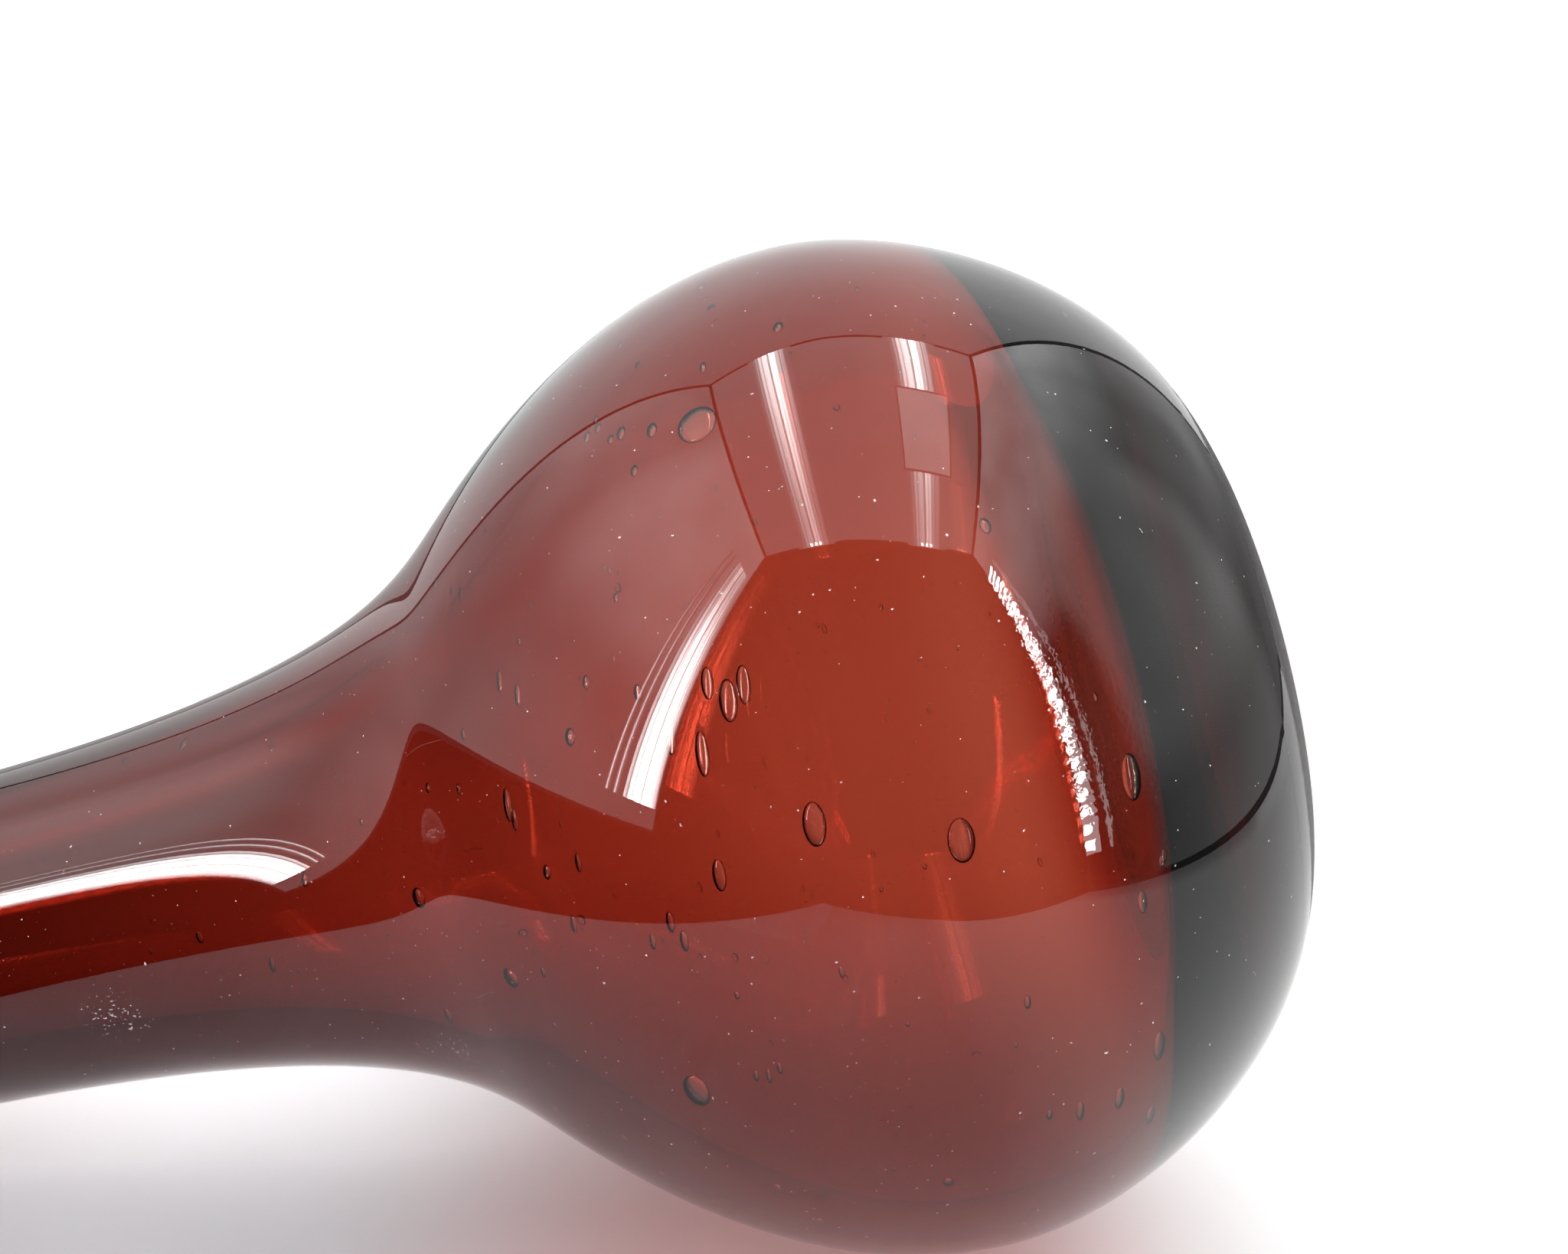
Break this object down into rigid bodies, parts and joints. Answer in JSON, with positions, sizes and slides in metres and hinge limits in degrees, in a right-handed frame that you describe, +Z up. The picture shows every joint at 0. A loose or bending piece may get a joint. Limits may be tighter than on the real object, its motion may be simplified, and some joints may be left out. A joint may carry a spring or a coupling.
{
  "type": "glass vase",
  "caption": "Free-blown bottle vase in red-brown glass, a round bulb drawn out into a long slim neck, with air bubbles trapped in its wall.",
  "frame": {"origin": "centre of the standing ring, on the surface that the vase stands on", "axes": "+Z up the vase's axis, from the foot to the lip"},
  "size_m": [0.11, 0.11, 0.18],
  "materials": {
    "inner_glass": "fire-polished transparent red-brown glass",
    "casing_glass": "fire-polished transparent red-brown glass with fine scuffs",
    "foot_glass": "pressed and ground red-brown glass, worn matt where it stands",
    "lip_glass": "fire-polished rounded red-brown glass"
  },
  "bodies": {
    "root": {"inner_gather": "inner_glass", "outer_gather": "casing_glass", "foot_pad": "foot_glass", "lip_bead": "lip_glass"}
  },
  "joints": []
}
